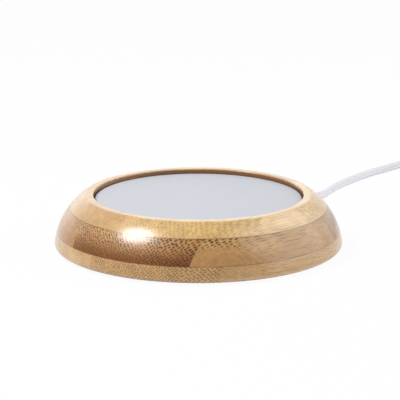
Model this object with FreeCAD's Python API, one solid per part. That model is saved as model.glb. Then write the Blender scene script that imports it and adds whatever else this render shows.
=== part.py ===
"""Electric mug warmer: a turned bamboo ring with a flat metal hot plate, fed by a thin white lead.

All sizes are in millimetres. +Z is up, the origin lies on the table under the middle of the ring,
and +Y is the side where the lead comes out.
"""
import FreeCAD, Part
import math
import os

Vector = FreeCAD.Vector

# Bamboo ring, glued up from three plies
body_radius = 55.0
foot_lift = 1.0
ply_bottom_thickness = 6.0
ply_middle_thickness = 9.0
ply_top_thickness = 5.0
side_lean_degrees = 8.0
bottom_round = 1.5
rim_width = 15.0
rim_flat = 2.3
rim_inner_round = 0.5
rim_outer_round = 1.5

# Recess, shelf and cavity inside the ring
recess_depth = 1.8
shelf_width = 4.0
flange_thickness = 3.5
base_edge_wall = 4.5
cover_land_width = 7.0
cover_rebate_depth = 2.0

# Hot plate and its seal
plate_thickness = 1.5
plate_gap = 0.4
plate_edge_round = 0.4
seal_thickness = 0.5
seal_width = 3.0

# Heater
film_thickness = 0.3
film_edge_gap = 2.0
track_thickness = 0.1
track_width = 2.4
track_pitch = 4.0
track_edge_gap = 3.0
slot_edge_gap = 2.0
slot_width = 5.0
slot_end_gap = 2.5
pad_clearance = 0.05
retainer_thickness = 0.8
retainer_edge_gap = 2.0

# Thermal cut-off and wiring
fuse_diameter = 2.4
fuse_length = 9.0
fuse_lead_diameter = 0.6
fuse_lead_stub = 2.5
sleeve_wall = 0.3
fuse_clearance = 0.02
sleeve_overhang = 1.5
wire_diameter = 1.2
wire_bend = 2.5
wire_clearance = 0.05
lead_bend = 0.9
splice_diameter = 2.4
splice_length = 12.0
splice_setback = 19.0
live_splice_x = -10.0
return_splice_x = -18.0

# Screws
screw_shank_diameter = 2.0
screw_head_diameter = 4.0
screw_head_height = 0.9
screw_clearance = 0.05
head_clearance = 0.2
drive_width = 0.6
drive_length = 2.6
drive_depth = 0.4
pilot_extra_depth = 0.1
head_sink = 0.1
retainer_screw_count = 3
first_retainer_screw_degrees = 180.0
retainer_screw_bite = 2.1
base_screw_count = 4
first_base_screw_degrees = 45.0
base_screw_bite = 3.5
clamp_screw_bite = 4.0

# Base cover and feet
cover_thickness = 1.8
cover_gap = 0.3
foot_diameter = 10.0
foot_pocket_depth = 0.6
foot_pocket_gap = 0.1
foot_edge_round = 0.5
foot_edge_margin = 7.7
foot_count = 4
first_foot_degrees = 45.0

# Lead, its grommet and its clamp
cord_diameter = 3.2
cord_fit = 0.05
grommet_neck_wall = 0.75
grommet_hole_gap = 0.1
grommet_outer_flange_wall = 2.0
grommet_flange_gap = 0.2
grommet_inner_flange_wall = 1.85
grommet_inner_flange_thickness = 1.5
grommet_floor_gap = 0.4
grommet_outer_flange_thickness = 1.6
grommet_seat_depth = 5.0
grommet_tail_length = 14.4
grommet_tail_root_wall = 1.45
grommet_tail_tip_wall = 0.55
groove_width = 0.7
groove_depth = 0.45
groove_pitch = 1.9
grommet_wall_gap = 0.15
sheath_past_clamp = 6.0
core_offset = 0.8
red_core_straight = 6.0
black_core_straight = 3.0
core_splice_straight = 3.0
clamp_wall_gap = 9.0
clamp_gap = 0.1
clamp_length = 6.0
clamp_screw_spacing = 12.0
clamp_boss_diameter = 5.4
clamp_bar_thickness = 1.5
clamp_bar_wall = 0.9
clamp_web_width = 5.0

# Coil and its tie
table_clearance = 0.02
coil_lift = 0.9
coil_radius = 22.7
coil_gap = 0.5
coil_turns = 8.5
coil_reversals = (2.0, 4.25, 6.5)
coil_climb_slope = 3.0
coil_stations_per_turn = 4
least_coil_gap = 0.4
measuring_step = 0.9
measuring_skip = 12.8
tie_thickness = 0.6
tie_width = 5.0
tie_clearance = 0.3
tie_corner = 3.0

# Plug of the lead, with standard shell and contacts
plug_boot_length = 9.0
plug_boot_tip_wall = 0.7
plug_boot_root_diameter = 6.4
plug_body_length = 24.0
plug_body_width = 15.4
plug_body_thickness = 8.0
plug_body_round = 2.4
plug_body_edge_round = 1.0
grip_depth = 0.5
grip_place = 10.8
grip_width = 9.0
shell_width = 12.0
shell_height = 4.5
shell_wall = 0.3
shell_corner_round = 0.6
shell_length = 18.0
shell_sunk = 6.0
window_width = 2.0
window_length = 2.5
window_spacing = 5.6
window_from_tip = 5.2
insulator_setback = 0.8
insulator_clearance = 0.05
tongue_thickness = 1.85
rear_block_length = 4.0
contact_width = 1.0
contact_thickness = 0.2
contact_length = 7.4
contact_setback = 1.0
contact_places = (-3.5, -1.0, 1.0, 3.5)

# How near two measures must be to count as the same
tiny = 1e-6
same_level = 1e-3

# Heights that follow from the sizes above, from the table up
ring_bottom_z = foot_lift
lower_seam_z = ring_bottom_z + ply_bottom_thickness
upper_seam_z = lower_seam_z + ply_middle_thickness
crest_z = upper_seam_z + ply_top_thickness
plate_top_z = crest_z - recess_depth
plate_bottom_z = plate_top_z - plate_thickness
shelf_z = plate_bottom_z - seal_thickness
flange_bottom_z = shelf_z - flange_thickness
rebate_z = ring_bottom_z + cover_rebate_depth
film_bottom_z = plate_bottom_z - film_thickness
track_bottom_z = film_bottom_z - track_thickness
pad_top_z = track_bottom_z - pad_clearance
retainer_bottom_z = flange_bottom_z - retainer_thickness
cover_bottom_z = rebate_z - cover_thickness
foot_height = cover_bottom_z + foot_pocket_depth
lying_z = cord_diameter / 2 + table_clearance

# Radii that follow from the sizes above, from the outside in
bottom_flat_radius = body_radius - bottom_round
rebate_radius = bottom_flat_radius - base_edge_wall
cavity_radius = rebate_radius - cover_land_width
recess_radius = body_radius - rim_width
bore_radius = recess_radius - shelf_width
rim_edge_radius = recess_radius + rim_inner_round + rim_flat
plate_radius = recess_radius - plate_gap
film_radius = bore_radius - film_edge_gap
track_radius = film_radius - track_edge_gap
retainer_radius = cavity_radius - retainer_edge_gap
retainer_screw_circle = (bore_radius + retainer_radius) / 2
base_screw_circle = (cavity_radius + rebate_radius) / 2
foot_circle_radius = rebate_radius - cover_gap - foot_edge_margin - foot_diameter / 2
clamp_y = cavity_radius - clamp_wall_gap
sheath_end_y = clamp_y - sheath_past_clamp
splice_middle_y = sheath_end_y - splice_setback

# The lead's sizes, its grommet about it, and the height at which it leaves
cord_radius = cord_diameter / 2
grommet_bore_radius = cord_radius + cord_fit
grommet_neck_radius = grommet_bore_radius + grommet_neck_wall
grommet_flange_radius = grommet_bore_radius + grommet_outer_flange_wall
grommet_inner_flange_radius = grommet_bore_radius + grommet_inner_flange_wall
grommet_tail_root_radius = grommet_bore_radius + grommet_tail_root_wall
grommet_tail_tip_radius = grommet_bore_radius + grommet_tail_tip_wall
cord_exit_height = rebate_z + grommet_floor_gap + grommet_inner_flange_radius
wire_z = (rebate_z + retainer_bottom_z) / 2
fuse_axis_z = pad_top_z - fuse_diameter / 2 - sleeve_wall - pad_clearance

# Free lead on the table: across, away from the grommet's tip, and the height above the table
arc_share = 0.45
run_route = (
    (0.0, 0.0, cord_exit_height),
    (0.0, 4.5, cord_exit_height),
    (0.8, 10.5, 5.6),
    (1.8, 17.0, 2.9),
    (1.8, 23.5, lying_z),
    (0.2, 32.0, lying_z),
    (-1.5, 43.0, lying_z),
    (-2.2, 56.0, lying_z),
    (-1.9, 70.5, lying_z),
    (0.4, 85.5, lying_z),
    (2.4, 100.5, lying_z),
    (1.2, 114.0, lying_z + coil_lift),
    (1.0, 124.0, lying_z + coil_lift),
)

# Across, ahead and the share of the way down, from the coil's end to the plug
end_route = (
    (0.0, 0.0, 0.0),
    (0.0, 6.5, 0.0),
    (0.9, 14.0, 0.27),
    (2.3, 22.5, 0.72),
    (3.3, 31.5, 1.0),
    (3.5, 39.5, 1.0),
)


def cylinder(radius, low, high, x=0.0, y=0.0):
    return Part.makeCylinder(radius, high - low, Vector(x, y, low))


def washer(outer, inner, low, high):
    return cylinder(outer, low, high).cut(cylinder(inner, low - 1, high + 1))


def block(x0, x1, y0, y1, z0, z1):
    return Part.makeBox(x1 - x0, y1 - y0, z1 - z0, Vector(x0, y0, z0))


def round_bar(radius, start, end):
    """A cylinder from one point to another."""
    way = end - start
    return Part.makeCylinder(radius, way.Length, start, way)


def turned(profile, axis=Vector(0, 0, 1), centre=Vector(0, 0, 0)):
    """A solid turned from a closed outline that lies beside the axis."""
    return Part.Face(Part.Wire(profile)).revolve(centre, axis, 360)


def polyline(points):
    return [Part.LineSegment(a, b).toShape() for a, b in zip(points, points[1:])]


def around(shape, count, first_degrees=0.0):
    """Copies of a shape, evenly spaced about the Z axis."""
    copies = []
    for number in range(count):
        turned_copy = shape.copy()
        turned_copy.rotate(Vector(0, 0, 0), Vector(0, 0, 1), first_degrees + number * 360 / count)
        copies.append(turned_copy)
    return copies


def cut_all(shape, tools):
    for tool in tools:
        shape = shape.cut(tool)
    return shape


def save(name, *solids):
    """Writes one node from its separate solids, and says what it holds."""
    whole = solids[0] if len(solids) == 1 else Part.makeCompound(list(solids))
    count = len(whole.Solids)
    print(f"{name}: {count} solid(s), valid {whole.isValid()}, volume {whole.Volume:.2f}")
    whole.exportStep(f"parts/{name}.step")


def arc_in_corner(start, corner, end):
    """The arc that leaves start towards corner and reaches end from corner, both equally far away."""
    middle = (start + end) * 0.5
    half_chord = (end - start).Length / 2
    cosine = half_chord / (corner - start).Length
    rise = half_chord * math.sqrt((1 - cosine) / (1 + cosine))
    bulge = Vector(corner - middle)
    bulge.normalize()
    return Part.Arc(start, middle + bulge * rise, end).toShape()


def unit(vector):
    result = Vector(vector)
    result.normalize()
    return result


def bent_path(points, radii):
    """Straight runs between the points, with an arc of the given radius at each inner point."""
    edges = []
    here = points[0]
    for before, corner, after, radius in zip(points, points[1:], points[2:], radii):
        inward = unit(corner - before)
        outward = unit(after - corner)
        half_turn = inward.getAngle(outward) / 2
        reach = radius * math.tan(half_turn)
        arc_start = corner - inward * reach
        arc_end = corner + outward * reach
        if (arc_start - here).Length > tiny:
            edges.append(Part.LineSegment(here, arc_start).toShape())
        edges.append(arc_in_corner(arc_start, corner, arc_end))
        here = arc_end
    edges.append(Part.LineSegment(here, points[-1]).toShape())
    return Part.Wire(edges)


def sweep(path, start, heading, diameter, label):
    """A round tube along a path, with its volume compared with its section times its length."""
    section = Part.Wire(Part.makeCircle(diameter / 2, start, heading))
    shell = path.makePipeShell([section], True, False)
    expected = math.pi * diameter ** 2 / 4 * path.Length
    ratio = shell.Volume / expected
    print(f"{label}: length {path.Length:.1f}, volume over section times length {ratio:.4f}")
    return shell


def wire(points, diameter, bend, label):
    """A short wire inside the body, with the same bend at each corner."""
    path = bent_path(points, [bend] * (len(points) - 2))
    return sweep(path, points[0], points[1] - points[0], diameter, label)


def free_lead(points, label):
    """A stretch of the lead on the table: each arc is as large as its two runs allow."""
    radii = []
    for before, corner, after in zip(points, points[1:], points[2:]):
        half_turn = (corner - before).getAngle(after - corner) / 2
        shorter = min((corner - before).Length, (after - corner).Length)
        radii.append(arc_share * shorter / math.tan(half_turn))
    print(f"{label}: bend radii", [round(radius, 1) for radius in radii])
    path = bent_path(points, radii)
    return sweep(path, points[0], points[1] - points[0], cord_diameter, label)


def screw(x, y, seat_z, tip_z):
    """A pan head screw on the Z axis: the head lies on the seat, away from the tip."""
    up = 1 if tip_z > seat_z else -1
    head_end = seat_z - up * screw_head_height
    shank = cylinder(screw_shank_diameter / 2, min(seat_z, tip_z), max(seat_z, tip_z), x, y)
    head = cylinder(screw_head_diameter / 2, min(seat_z, head_end), max(seat_z, head_end), x, y)
    floor_z = head_end + up * drive_depth
    low, high = min(head_end, floor_z), max(head_end, floor_z)
    drive = shank.fuse(head)
    for wide, deep in ((drive_length / 2, drive_width / 2), (drive_width / 2, drive_length / 2)):
        drive = drive.cut(block(x - wide, x + wide, y - deep, y + deep, low, high))
    return drive.removeSplitter()


def screw_hole(x, y, low, high):
    return cylinder(screw_shank_diameter / 2 + screw_clearance, low, high, x, y)


def ring_profile():
    """The ring's section: rounded foot, one large side arc, rounded rim, recess, shelf and cavity."""
    lean = math.radians(side_lean_degrees)
    normal = Vector(math.cos(lean), 0, math.sin(lean))
    foot_centre = Vector(body_radius - bottom_round, 0, ring_bottom_z + bottom_round)
    side_start = foot_centre + normal * bottom_round
    rim_centre = Vector(rim_edge_radius, 0, crest_z - rim_outer_round)
    offset = side_start - rim_centre
    slack = rim_outer_round - offset.dot(normal)
    side_radius = (rim_outer_round ** 2 - offset.dot(offset)) / (2 * slack)
    side_centre = side_start - normal * side_radius
    side_end = side_centre + unit(rim_centre - side_centre) * side_radius
    side_middle = side_centre + unit(side_start + side_end - side_centre * 2) * side_radius
    rim_top = Vector(rim_edge_radius, 0, crest_z)
    rim_middle = rim_centre + unit(side_end + rim_top - rim_centre * 2) * rim_outer_round
    foot_bottom = Vector(body_radius - bottom_round, 0, ring_bottom_z)
    foot_middle = foot_centre + unit(side_start + foot_bottom - foot_centre * 2) * bottom_round
    inner_centre = Vector(recess_radius + rim_inner_round, 0, crest_z - rim_inner_round)
    inner_top = inner_centre + Vector(0, 0, rim_inner_round)
    inner_side = inner_centre - Vector(rim_inner_round, 0, 0)
    inner_middle = inner_centre + unit(Vector(-1, 0, 1)) * rim_inner_round
    print(f"ring: side arc radius {side_radius:.2f}, height {crest_z - ring_bottom_z:.1f}")
    inside = [
        inner_side,
        Vector(recess_radius, 0, shelf_z),
        Vector(bore_radius, 0, shelf_z),
        Vector(bore_radius, 0, flange_bottom_z),
        Vector(cavity_radius, 0, flange_bottom_z),
        Vector(cavity_radius, 0, rebate_z),
        Vector(rebate_radius, 0, rebate_z),
        Vector(rebate_radius, 0, ring_bottom_z),
        foot_bottom,
    ]
    return [
        Part.Arc(foot_bottom, foot_middle, side_start).toShape(),
        Part.Arc(side_start, side_middle, side_end).toShape(),
        Part.Arc(side_end, rim_middle, rim_top).toShape(),
        Part.LineSegment(rim_top, inner_top).toShape(),
        Part.Arc(inner_top, inner_middle, inner_side).toShape(),
    ] + polyline(inside)


def grommet_seat_y():
    """The flat of the counterbore that takes the grommet's outer flange."""
    return body_radius - grommet_seat_depth


def make_ring():
    ring = turned(ring_profile())
    hole_radius = grommet_neck_radius + grommet_hole_gap
    seat_radius = grommet_flange_radius + grommet_flange_gap
    exit_axis = Vector(0, 0, cord_exit_height)
    outside = Vector(0, body_radius + 1, cord_exit_height)
    tools = [
        round_bar(hole_radius, exit_axis, outside),
        round_bar(seat_radius, Vector(0, grommet_seat_y(), cord_exit_height), outside),
    ]
    retainer_end = flange_bottom_z + retainer_screw_bite + pilot_extra_depth
    pilot = screw_hole(0, retainer_screw_circle, flange_bottom_z - 1, retainer_end)
    tools += around(pilot, retainer_screw_count, first_retainer_screw_degrees)
    base_end = rebate_z + base_screw_bite + pilot_extra_depth
    pilot = screw_hole(0, base_screw_circle, rebate_z - 1, base_end)
    tools += around(pilot, base_screw_count, first_base_screw_degrees)
    ring = cut_all(ring, tools)
    reach = body_radius + 1
    levels = (ring_bottom_z, lower_seam_z, upper_seam_z, crest_z)
    names = ("ring_bottom_ply", "ring_middle_ply", "ring_top_ply")
    for name, low, high in zip(names, levels, levels[1:]):
        save(name, ring.common(block(-reach, reach, -reach, reach, low, high)))


def make_hot_plate():
    plate = cylinder(plate_radius, plate_bottom_z, plate_top_z)
    rims = [edge for edge in plate.Edges if edge.BoundBox.ZMin > plate_top_z - same_level]
    save("hot_plate", plate.makeFillet(plate_edge_round, rims))
    save("plate_seal", washer(plate_radius, plate_radius - seal_width, shelf_z, plate_bottom_z))


def slot_reach():
    """Half the length of the wiring slot: it ends just past the outer runs of the track."""
    return track_run_places()[-1] + slot_end_gap


def track_run_places():
    """Where the straight runs of the heater's track lie along X: an even number of them."""
    pairs = int((track_radius - track_width / 2 - track_pitch / 2) // track_pitch)
    half = [track_pitch / 2 + track_pitch * number for number in range(pairs)]
    return [-x for x in reversed(half)] + half


def slot_middle_y():
    """The slot lies across the far side, its outer corners a gap inside the film's edge."""
    corner_y = math.sqrt((film_radius - slot_edge_gap) ** 2 - slot_reach() ** 2)
    return slot_width / 2 - corner_y


def make_heater():
    slot_y = slot_middle_y()
    save("heater_film", cylinder(film_radius, film_bottom_z, plate_bottom_z))
    places = track_run_places()
    half = track_width / 2
    track = None
    for number, x in enumerate(places):
        reach = math.sqrt(track_radius ** 2 - (abs(x) + half) ** 2)
        low = slot_y if number in (0, len(places) - 1) else -reach
        run = block(x - half, x + half, low, reach, track_bottom_z, film_bottom_z)
        track = run if track is None else track.fuse(run)
        if number + 1 == len(places):
            break
        next_x = places[number + 1]
        next_reach = math.sqrt(track_radius ** 2 - (abs(next_x) + half) ** 2)
        end = min(reach, next_reach)
        y0 = end - track_width if number % 2 == 0 else -end
        bend = block(x - half, next_x + half, y0, y0 + track_width, track_bottom_z, film_bottom_z)
        track = track.fuse(bend)
    save("heater_track", track.removeSplitter())

    half_slot = slot_width / 2
    slot = block(-slot_reach(), slot_reach(), slot_y - half_slot, slot_y + half_slot, 0, crest_z)
    save("insulation_pad", cylinder(film_radius, flange_bottom_z, pad_top_z).cut(slot))

    hole = screw_hole(0, retainer_screw_circle, 0, crest_z)
    holes = around(hole, retainer_screw_count, first_retainer_screw_degrees)
    retainer = cylinder(retainer_radius, retainer_bottom_z, flange_bottom_z)
    save("retainer_plate", cut_all(retainer, [slot] + holes))
    one = screw(0, retainer_screw_circle, retainer_bottom_z, flange_bottom_z + retainer_screw_bite)
    save("retainer_screws", *around(one, retainer_screw_count, first_retainer_screw_degrees))


def make_wiring():
    slot_y = slot_middle_y()
    end_x = track_run_places()[-1]
    left = Vector(-fuse_length / 2, slot_y, fuse_axis_z)
    right = Vector(fuse_length / 2, slot_y, fuse_axis_z)
    stub_end = left - Vector(fuse_lead_stub, 0, 0)
    body = round_bar(fuse_diameter / 2, left, right)
    stub = round_bar(fuse_lead_diameter / 2, stub_end, left)
    to_track = [right, Vector(end_x, slot_y, fuse_axis_z), Vector(end_x, slot_y, track_bottom_z)]
    long_lead = wire(to_track, fuse_lead_diameter, lead_bend, "fuse lead")
    save("thermal_fuse", body.fuse(stub).fuse(long_lead))

    overhang = Vector(sleeve_overhang, 0, 0)
    sleeve = round_bar(fuse_diameter / 2 + sleeve_wall, left - overhang, right + overhang)
    bore = round_bar(fuse_diameter / 2 + fuse_clearance, left - overhang, right + overhang)
    save("fuse_sleeve", sleeve.cut(bore))

    live = [
        Vector(live_splice_x, splice_middle_y, wire_z),
        Vector(live_splice_x, slot_y, wire_z),
        Vector(live_splice_x, slot_y, fuse_axis_z),
        stub_end,
    ]
    save("heater_lead_live", wire(live, wire_diameter, wire_bend, "heater_lead_live"))
    back = [
        Vector(return_splice_x, splice_middle_y, wire_z),
        Vector(return_splice_x, slot_y / 2, wire_z),
        Vector(-end_x, slot_y, wire_z),
        Vector(-end_x, slot_y, track_bottom_z),
    ]
    save("heater_lead_return", wire(back, wire_diameter, wire_bend, "heater_lead_return"))

    sleeves = []
    for x in (live_splice_x, return_splice_x):
        start = Vector(x, splice_middle_y - splice_length / 2, wire_z)
        end = Vector(x, splice_middle_y + splice_length / 2, wire_z)
        bore = round_bar(wire_diameter / 2 + wire_clearance, start, end)
        sleeves.append(round_bar(splice_diameter / 2, start, end).cut(bore))
    save("splice_sleeves", *sleeves)

    cores = (
        ("core_red", core_offset, red_core_straight, live_splice_x),
        ("core_black", -core_offset, black_core_straight, return_splice_x),
    )
    sleeve_end = splice_middle_y + splice_length / 2
    for name, start_x, straight, end_x in cores:
        route = [
            Vector(start_x, sheath_end_y, cord_exit_height),
            Vector(start_x, sheath_end_y - straight, cord_exit_height),
            Vector(end_x, sleeve_end + core_splice_straight, wire_z),
            Vector(end_x, splice_middle_y, wire_z),
        ]
        save(name, wire(route, wire_diameter, wire_bend, name))


def make_base():
    half_spacing = clamp_screw_spacing / 2
    seat_z = cover_bottom_z + screw_head_height + head_sink
    cover = cylinder(rebate_radius - cover_gap, cover_bottom_z, rebate_z)
    saddle_top = cord_exit_height - clamp_gap
    pilot_end = saddle_top - clamp_screw_bite - pilot_extra_depth
    for x in (-half_spacing, half_spacing):
        cover = cover.fuse(cylinder(clamp_boss_diameter / 2, rebate_z, saddle_top, x, clamp_y))
    half_web = clamp_web_width / 2
    web = block(-half_spacing, half_spacing, clamp_y - half_web, clamp_y + half_web, rebate_z, saddle_top)
    cover = cover.fuse(web)
    ahead = Vector(0, clamp_length, 0)
    cord_axis = Vector(0, clamp_y, cord_exit_height)
    groove = round_bar(cord_radius + cord_fit, cord_axis - ahead, cord_axis + ahead)
    tools = [groove]
    for x in (-half_spacing, half_spacing):
        tools.append(screw_hole(x, clamp_y, pilot_end, saddle_top + 1))
    hole = screw_hole(0, base_screw_circle, 0, rebate_z)
    tools += around(hole, base_screw_count, first_base_screw_degrees)
    head_radius = screw_head_diameter / 2 + head_clearance
    head_recess = cylinder(head_radius, 0, seat_z, 0, base_screw_circle)
    tools += around(head_recess, base_screw_count, first_base_screw_degrees)
    pocket_radius = foot_diameter / 2 + foot_pocket_gap
    pocket = cylinder(pocket_radius, 0, cover_bottom_z + foot_pocket_depth, 0, foot_circle_radius)
    tools += around(pocket, foot_count, first_foot_degrees)
    save("base_cover", cut_all(cover, tools).removeSplitter())
    one = screw(0, base_screw_circle, seat_z, rebate_z + base_screw_bite)
    save("base_screws", *around(one, base_screw_count, first_base_screw_degrees))

    foot = cylinder(foot_diameter / 2, 0, foot_height, 0, foot_circle_radius)
    ground = [edge for edge in foot.Edges if edge.BoundBox.ZMax < same_level]
    foot = foot.makeFillet(foot_edge_round, ground)
    save("rubber_feet", *around(foot, foot_count, first_foot_degrees))

    bar_top = saddle_top + clamp_bar_thickness
    half_bar = half_spacing + clamp_boss_diameter / 2
    half_length = clamp_length / 2
    bar = block(-half_bar, half_bar, clamp_y - half_length, clamp_y + half_length, saddle_top, bar_top)
    arch_axis = (cord_axis - Vector(0, half_length, 0), cord_axis + Vector(0, half_length, 0))
    arch = round_bar(cord_radius + cord_fit + clamp_bar_wall, *arch_axis)
    above = block(-half_bar, half_bar, clamp_y - half_length, clamp_y + half_length, saddle_top, crest_z)
    bar = bar.fuse(arch.common(above)).cut(groove)
    for x in (-half_spacing, half_spacing):
        bar = bar.cut(screw_hole(x, clamp_y, saddle_top - 1, bar_top + 1))
    save("cord_clamp_bar", bar.removeSplitter())
    tip = saddle_top - clamp_screw_bite
    save("clamp_screws", *[screw(x, clamp_y, bar_top, tip) for x in (-half_spacing, half_spacing)])


def grommet_tip_y():
    return grommet_seat_y() + grommet_outer_flange_thickness + grommet_tail_length


def ribbed_cone(start_y, length, root_radius, tip_radius, bore_radius_here):
    """A tapered tail along +Y at the lead's height, with grooves that let it bend."""
    cone = Part.makeCone(root_radius, tip_radius, length, Vector(0, start_y, 0), Vector(0, 1, 0))
    count = int((length - 2 * groove_pitch) // groove_pitch)
    for number in range(1, count + 1):
        y = start_y + number * groove_pitch
        radius = root_radius + (tip_radius - root_radius) * number * groove_pitch / length
        ring = round_bar(radius + 1, Vector(0, y, 0), Vector(0, y + groove_width, 0))
        core = round_bar(radius - groove_depth, Vector(0, y, 0), Vector(0, y + groove_width, 0))
        cone = cone.cut(ring.cut(core))
    if bore_radius_here:
        cone = cone.cut(round_bar(bore_radius_here, Vector(0, start_y, 0), Vector(0, start_y + length, 0)))
    return cone


def make_grommet():
    bore = grommet_bore_radius
    seat = grommet_seat_y()
    wall_inside = math.sqrt(cavity_radius ** 2 - grommet_inner_flange_radius ** 2) - grommet_wall_gap
    flange_end = seat + grommet_outer_flange_thickness
    stations = (
        (wall_inside - grommet_inner_flange_thickness, wall_inside, grommet_inner_flange_radius),
        (wall_inside, seat, grommet_neck_radius),
        (seat, flange_end, grommet_flange_radius),
    )
    tail_radii = (grommet_tail_root_radius, grommet_tail_tip_radius)
    body = ribbed_cone(flange_end, grommet_tail_length, *tail_radii, bore)
    for low, high, radius in stations:
        collar = round_bar(radius, Vector(0, low, 0), Vector(0, high, 0))
        body = body.fuse(collar.cut(round_bar(bore, Vector(0, low, 0), Vector(0, high, 0))))
    body = body.removeSplitter()
    body.translate(Vector(0, 0, cord_exit_height))
    save("cord_grommet", body)
    sheath_start = Vector(0, sheath_end_y, cord_exit_height)
    save("cord_inner", round_bar(cord_radius, sheath_start, Vector(0, grommet_tip_y(), cord_exit_height)))


def coil_station(turn):
    """Radius and height on the coil, each with its rate per turn, at a quarter turn's mark."""
    pitch = cord_diameter + coil_gap
    marks = (0.0,) + coil_reversals + (coil_turns,)
    radius = coil_radius
    for layer, (begin, end) in enumerate(zip(marks, marks[1:])):
        inwards = -1 if layer % 2 == 0 else 1
        if turn <= end + tiny:
            break
        radius += inwards * pitch * (end - begin)
    radius += inwards * pitch * (turn - begin)
    base = coil_lift + table_clearance + cord_radius
    if any(abs(turn - mark) < tiny for mark in coil_reversals):
        return radius, 0.0, base + pitch * (layer + 0.5), pitch * coil_climb_slope
    return radius, inwards * pitch, base + pitch * layer, 0.0


def coil_nodes(start, heading):
    """Points and directions at each quarter turn, clockwise from above, led in along the heading."""
    steps = round(coil_turns * coil_stations_per_turn)
    raw = []
    for step in range(steps + 1):
        turn = step / coil_stations_per_turn
        radius, radius_rate, height, height_rate = coil_station(turn)
        angle = 2 * math.pi * turn
        out = Vector(-math.cos(angle), math.sin(angle), 0)
        along = Vector(math.sin(angle), math.cos(angle), 0)
        place = out * radius + Vector(0, 0, height)
        way = along * (2 * math.pi * radius) + out * radius_rate + Vector(0, 0, height_rate)
        raw.append((place, unit(way)))
    first_place, first_way = raw[0]
    swing = math.degrees(math.atan2(heading.y, heading.x) - math.atan2(first_way.y, first_way.x))
    turn_about = FreeCAD.Rotation(Vector(0, 0, 1), swing)
    lead_in = start + unit(Vector(heading.x, heading.y, 0)) * cord_diameter
    shift = Vector(lead_in.x, lead_in.y, 0) - turn_about.multVec(Vector(first_place.x, first_place.y, 0))
    placed = [(turn_about.multVec(place) + shift, turn_about.multVec(way)) for place, way in raw]
    return placed, shift, swing


def biarc(start, start_way, end, end_way):
    """Two arcs, tangent to each other, from one point and direction to another."""
    span = end - start
    both = start_way + end_way
    cosine = start_way.dot(end_way)
    along = span.dot(both)
    reach = (math.sqrt(along ** 2 + 2 * (1 - cosine) * span.dot(span)) - along) / (2 * (1 - cosine))
    first_corner = start + start_way * reach
    second_corner = end - end_way * reach
    joint = (first_corner + second_corner) * 0.5
    return [arc_in_corner(start, first_corner, joint), arc_in_corner(joint, second_corner, end)]


def least_gap(path, diameter, own_stretch):
    """The least gap of a wound tube to itself, measured on points along its middle line."""
    points = []
    for edge in path.Edges:
        count = max(2, int(edge.Length / measuring_step))
        points += edge.discretize(Number=count + 1)[:-1]
    spots = [(point.x, point.y, point.z) for point in points]
    skip = int(own_stretch / measuring_step)
    least = math.inf
    for index, (x, y, z) in enumerate(spots):
        for other in spots[index + skip:]:
            if abs(other[0] - x) > least or abs(other[1] - y) > least:
                continue
            gap = (other[0] - x) ** 2 + (other[1] - y) ** 2 + (other[2] - z) ** 2
            least = min(least, math.sqrt(gap))
    return least - diameter


def make_free_lead():
    exit_point = Vector(0, grommet_tip_y(), 0)
    run = [Vector(*point) + exit_point for point in run_route]
    save("cord_run", free_lead(run, "cord_run"))

    start = run[-1]
    heading = unit(run[-1] - run[-2])
    nodes, centre, swing = coil_nodes(start, heading)
    edges = [Part.LineSegment(start, nodes[0][0]).toShape()]
    for (place, way), (next_place, next_way) in zip(nodes, nodes[1:]):
        edges += biarc(place, way, next_place, next_way)
    last_place, last_way = nodes[-1]
    coil_end = last_place + last_way * cord_diameter
    edges.append(Part.LineSegment(last_place, coil_end).toShape())
    path = Part.Wire(edges)
    save("cord_coil", sweep(path, start, heading, cord_diameter, "cord_coil"))
    gap = least_gap(path, cord_diameter, measuring_skip)
    print(f"cord_coil: least gap to itself {gap:.2f}, middle {centre.x:.1f}, {centre.y:.1f}")
    if gap < least_coil_gap:
        raise ValueError("the coil's turns come too near each other")

    make_tie(centre, swing)

    side = Vector(-last_way.y, last_way.x, 0)
    drop = coil_end.z - table_clearance - plug_body_thickness / 2
    end_run = []
    for across, ahead, down in end_route:
        end_run.append(coil_end + side * across + last_way * ahead - Vector(0, 0, drop * down))
    save("cord_end_run", free_lead(end_run, "cord_end_run"))
    total = sum(shape_length(points) for points in (run, end_run)) + path.Length
    print(f"lead: about {total:.0f} in all, from the grommet to the plug")
    make_plug(end_run[-1], unit(end_run[-1] - end_run[-2]))


def shape_length(points):
    return sum((b - a).Length for a, b in zip(points, points[1:]))


def make_tie(centre, swing):
    """A flat band round the coil's bundle, on the side away from the object."""
    pitch = cord_diameter + coil_gap
    layers = len(coil_reversals) + 1
    innermost = coil_radius - pitch * coil_reversals[0] - cord_radius
    outermost = coil_radius + pitch * (coil_turns % 1) / 2 + cord_radius
    near = math.sqrt(innermost ** 2 - (tie_width / 2) ** 2) - tie_clearance
    far = outermost + tie_clearance
    low = table_clearance + tie_thickness
    high = table_clearance + coil_lift + cord_diameter + pitch * (layers - 1) + tie_clearance
    half = tie_width / 2
    inside = block(-half, half, near, far, low, high)
    wall = tie_thickness
    outside = block(-half, half, near - wall, far + wall, low - wall, high + wall)
    inside = rounded_along(Vector(1, 0, 0), inside, tie_corner - wall)
    outside = rounded_along(Vector(1, 0, 0), outside, tie_corner)
    tie = outside.cut(inside)
    tie.rotate(Vector(0, 0, 0), Vector(0, 0, 1), swing)
    tie.translate(centre)
    save("coil_tie", tie)


def rounded_along(direction, shape, radius):
    """Rounds the four edges of a block that run in one direction."""
    long_edges = []
    for edge in shape.Edges:
        way = edge.Vertexes[-1].Point - edge.Vertexes[0].Point
        if way.cross(direction).Length < tiny:
            long_edges.append(edge)
    return shape.makeFillet(radius, long_edges)


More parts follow.
